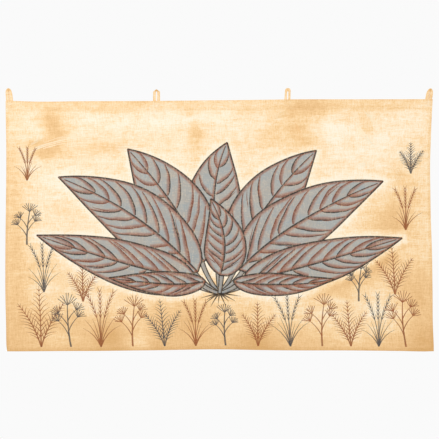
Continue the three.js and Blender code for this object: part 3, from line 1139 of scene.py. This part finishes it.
class Nodes:
    """Short calls for building one material's nodes."""

    def __init__(self, name):
        self.material = bpy.data.materials.new(name)
        self.material.use_nodes = True
        self.tree = self.material.node_tree
        self.tree.nodes.clear()
        self.shader = self.new("BsdfPrincipled")
        self.link(self.shader.outputs["BSDF"], self.new("OutputMaterial").inputs["Surface"])
        self.coords = self.new("TexCoord").outputs["Object"]

    def new(self, kind, **settings):
        """A node of one kind, with values given to its inputs by name."""
        node = self.tree.nodes.new("ShaderNode" + kind)
        for name, value in settings.items():
            node.inputs[name.replace("_", " ")].default_value = value
        return node

    def link(self, source, target):
        self.tree.links.new(source, target)

    def feed(self, socket, value):
        """Give a socket a number, a colour or another node's output."""
        if isinstance(value, tuple):
            socket.default_value = (*value, 1.0)
        elif isinstance(value, (int, float)):
            socket.default_value = value
        else:
            self.link(value, socket)

    def math(self, operation, a, b=0.0, clamp=False):
        node = self.new("Math")
        node.operation = operation
        node.use_clamp = clamp
        self.feed(node.inputs[0], a)
        self.feed(node.inputs[1], b)
        return node.outputs[0]

    def weighted(self, *terms):
        """The sum of outputs, each times its weight."""
        first, *others = [self.math("MULTIPLY", output, weight) for output, weight in terms]
        for other in others:
            first = self.math("ADD", first, other)
        return first

    def noise(self, stretch, detail=3.0, roughness=0.55, distortion=0.0):
        """Noise with a feature size along X, Y and Z, in metres, centred on 0."""
        mapping = self.new("Mapping", Scale=[1.0 / size for size in stretch])
        self.link(self.coords, mapping.inputs["Vector"])
        node = self.new(
            "TexNoise", Scale=1.0, Detail=detail, Roughness=roughness, Distortion=distortion
        )
        self.link(mapping.outputs["Vector"], node.inputs["Vector"])
        return self.math("SUBTRACT", node.outputs["Fac"], 0.5)

    def attribute(self, name):
        node = self.new("Attribute")
        node.attribute_name = name
        return node

    def ramp(self, factor, stops):
        node = self.new("ValToRGB")
        elements = node.color_ramp.elements
        while len(elements) < len(stops):
            elements.new(0.5)
        for element, (place, shade) in zip(elements, stops):
            element.position = place
            element.color = (*srgb_to_linear(shade), 1.0)
        self.link(factor, node.inputs["Fac"])
        return node.outputs["Color"]

    def blend(self, kind, factor, a, b):
        node = self.new("Mix")
        node.data_type = "RGBA"
        node.blend_type = kind
        self.feed(node.inputs["Factor"], factor)
        self.feed(node.inputs[6], a)
        self.feed(node.inputs[7], b)
        return node.outputs[2]

    def grey(self, value):
        """The colour whose three channels are one value."""
        node = self.new("CombineColor")
        for socket in node.inputs:
            self.link(value, socket)
        return node.outputs[0]

    def surface(self, colour, roughness):
        """The finished material, with this colour and roughness."""
        self.link(colour, self.shader.inputs["Base Color"])
        self.shader.inputs["Roughness"].default_value = roughness
        return self.material


# Distance between the threads of the weave, and how far they stray from straight lines
THREAD_PITCH = 0.0013
THREAD_DRIFT = 0.0022
# Depths of dye at which a brushed wash dried with an edge, and how sharp and deep the edge is
TIDE_LEVELS = [0.24, 0.37, 0.52]
TIDE_STEEPNESS = 16.0
TIDE_DEPTH = 0.075
# Colour of the dyed linen by depth of dye
DYE_STOPS = [
    (0.00, (0.970, 0.922, 0.838)),
    (0.20, (0.965, 0.890, 0.768)),
    (0.38, (0.958, 0.852, 0.701)),
    (0.52, (0.951, 0.815, 0.620)),
    (0.70, (0.922, 0.766, 0.560)),
    (0.86, (0.885, 0.716, 0.502)),
    (1.00, (0.837, 0.656, 0.426)),
]
BACK_SHADE = (0.93, 0.87, 0.76)
PAINT_TINTS = [(0.25, (1.0, 0.955, 0.920)), (0.75, (0.915, 0.945, 0.965))]
THREAD_SHADES = [(0.2, (0.80, 0.68, 0.50)), (0.8, (0.93, 0.84, 0.68))]
FLOOR_SHADES = [(0.0, (0.90, 0.90, 0.89)), (1.0, (0.93, 0.93, 0.92))]


def weave_height(nodes):
    """Plain weave: threads that pass over and under in turn, thicker at their slubs."""
    split = nodes.new("SeparateXYZ")
    nodes.link(nodes.coords, split.inputs[0])
    stray = nodes.math("MULTIPLY", nodes.noise((0.03, 0.03, 0.03), 2.0), THREAD_DRIFT)
    waves = []
    for axis in ("X", "Z"):
        place = nodes.math("ADD", split.outputs[axis], stray)
        turns = nodes.math("MULTIPLY", place, math.pi / THREAD_PITCH)
        waves.append(nodes.math("SINE", turns))
    return nodes.math("MULTIPLY", *waves)


def linen_material(name, painted):
    """Dyed linen: mottled ochre, brushed washes, slubs and, where painted, a thin chalky paint."""
    nodes = Nodes(name)
    parts = nodes.new("SeparateColor")
    nodes.link(nodes.attribute("ground").outputs["Color"], parts.inputs["Color"])
    # The ground's red is the dye's depth, with painted shade in the strips' furrows and shut folds
    dye_and_shade, back = parts.outputs["Red"], parts.outputs["Blue"]

    weft = nodes.noise((0.024, 0.02, 0.0026), 2.0)
    warp = nodes.noise((0.0026, 0.02, 0.026), 2.0)
    grain = nodes.noise((0.0052, 0.0052, 0.0052), 3.0, 0.75)
    blotch = nodes.noise((0.060, 0.05, 0.045), 4.0, 0.65, 0.6)
    wash = nodes.noise((0.20, 0.05, 0.016), 3.0, 0.65, 0.3)
    slubs = nodes.math("ADD", weft, warp)
    mottle = nodes.weighted((slubs, 1.00), (grain, 1.15), (blotch, 0.50), (wash, 0.34))
    thinness = nodes.math("SUBTRACT", 1.10, dye_and_shade, clamp=True)
    depth = nodes.math("ADD", dye_and_shade, nodes.math("MULTIPLY", mottle, thinness))
    pooled = nodes.weighted((dye_and_shade, 1.0), (wash, 0.62), (blotch, 0.48))
    for level in TIDE_LEVELS:
        rise = nodes.math("MULTIPLY", nodes.math("SUBTRACT", pooled, level), TIDE_STEEPNESS)
        held = nodes.math("MINIMUM", nodes.math("MAXIMUM", rise, -0.5), 0.5)
        depth = nodes.math("ADD", depth, nodes.math("MULTIPLY", held, TIDE_DEPTH))
    cloth = nodes.ramp(depth, DYE_STOPS)
    colour = cloth
    if painted:
        pale_back = nodes.blend("MIX", 0.35, cloth, tuple(srgb_to_linear(BACK_SHADE)))
        colour = nodes.blend("MIX", back, paint_over(nodes, cloth, slubs, grain), pale_back)

    bump = nodes.new("Bump", Strength=0.55, Distance=0.0004)
    relief = nodes.weighted((weave_height(nodes), 0.45), (slubs, 0.9), (grain, 0.35))
    nodes.link(relief, bump.inputs["Height"])
    nodes.link(bump.outputs["Normal"], nodes.shader.inputs["Normal"])
    nodes.shader.inputs["Specular IOR Level"].default_value = 0.22
    nodes.shader.inputs["Sheen Weight"].default_value = 0.06
    nodes.shader.inputs["Sheen Roughness"].default_value = 0.6
    return nodes.surface(colour, 0.93)


def paint_over(nodes, cloth, slubs, grain):
    """Thin paint that misses the hollows of the weave and varies with each brush load."""
    paint = nodes.attribute("paint")
    load = nodes.noise((0.018, 0.02, 0.05), 3.0)
    missed = nodes.weighted((slubs, 0.75), (grain, 1.05), (load, 0.30))
    kept = nodes.math("SUBTRACT", 0.98, nodes.math("MAXIMUM", missed, 0.0), clamp=True)
    cover = nodes.math("MULTIPLY", paint.outputs["Alpha"], kept)
    patches = nodes.math("MULTIPLY", nodes.noise((0.070, 0.05, 0.045), 3.0), 1.5)
    tint = nodes.ramp(nodes.math("ADD", 0.5, patches), PAINT_TINTS)
    loaded = nodes.blend("MULTIPLY", 1.0, paint.outputs["Color"], tint)
    shown = nodes.blend("MULTIPLY", 1.0, loaded, nodes.grey(kept))
    ground_left = nodes.grey(nodes.math("SUBTRACT", 1.0, cover, clamp=True))
    return nodes.blend("ADD", 1.0, nodes.blend("MULTIPLY", 1.0, cloth, ground_left), shown)


def thread_material():
    """Twisted cotton thread, a little paler than the cloth."""
    nodes = Nodes("sewing_thread")
    twist = nodes.math("MULTIPLY", nodes.noise((0.0006, 0.0006, 0.0006), 2.0), 1.2)
    shade = nodes.math("ADD", 0.5, twist)
    return nodes.surface(nodes.ramp(shade, THREAD_SHADES), 0.8)


# Camera, lights and floor

VIEW_WIDTH = 1.756
CAMERA_X = 0.0028
CAMERA_Z = -0.5128
LENS = 85.0
SENSOR = 36.0
FLOOR_Z = -1.95
FLOOR_RADIUS = 2.3
# Lights: (name, place, size, power)
LIGHTS = [
    ("key", (-2.0, -2.8, 1.3), 1.6, 26.0),
    ("fill", (2.4, -3.0, 0.2), 2.2, 10.0),
    ("back", (1.6, 3.0, 1.0), 2.0, 14.0),
]


def set_stage():
    scene = bpy.context.scene
    scene.view_settings.view_transform = "Standard"
    scene.world = bpy.data.worlds.new("pale_studio")
    scene.world.use_nodes = True
    back = scene.world.node_tree.nodes["Background"]
    back.inputs["Color"].default_value = (0.956, 0.956, 0.956, 1.0)
    back.inputs["Strength"].default_value = 1.0

    camera_data = bpy.data.cameras.new("camera")
    camera_data.lens = LENS
    camera_data.sensor_width = SENSOR
    camera = placed("camera", camera_data)
    camera.location = (CAMERA_X, PLANE_Y - VIEW_WIDTH * LENS / SENSOR, CAMERA_Z)
    camera.rotation_euler = (math.pi / 2, 0, 0)
    bpy.context.scene.camera = camera

    for name, place, size, power in LIGHTS:
        data = bpy.data.lights.new(name, "AREA")
        data.size = size
        data.energy = power
        light = placed(name, data)
        light.location = place
        aim = Vector((0, 0, CAMERA_Z)) - Vector(place)
        light.rotation_euler = aim.to_track_quat("-Z", "Y").to_euler()

    turn = np.linspace(0, 2 * math.pi, 97)[:-1]
    rim = [(FLOOR_RADIUS * math.cos(a), FLOOR_RADIUS * math.sin(a), FLOOR_Z) for a in turn]
    floor = mesh_object("floor", rim, [tuple(range(len(rim)))])
    nodes = Nodes("pale_floor")
    shade = nodes.math("ADD", 0.5, nodes.noise((0.4, 0.4, 0.4), 3.0))
    floor.data.materials.append(nodes.surface(nodes.ramp(shade, FLOOR_SHADES), 0.9))


def main():
    set_stage()
    cloth = build_cloth()
    cloth.data.materials.append(linen_material("painted_linen", painted=True))
    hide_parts("cloth")

    strip_linen = linen_material("strip_linen", painted=False)
    strips = []
    for name, row in LOOPS.items():
        strip = build_loop(name, *row)
        strip.data.materials.append(strip_linen)
        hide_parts(name)
        strips.append(strip)

    thread = thread_material()
    sewing = [build_stitches("stitches_front", False), build_stitches("stitches_back", True)]
    sewing.append(build_bars())
    for piece in sewing:
        piece.data.materials.append(thread)
    for piece in (cloth, *strips, *sewing):
        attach(piece, "root")


main()
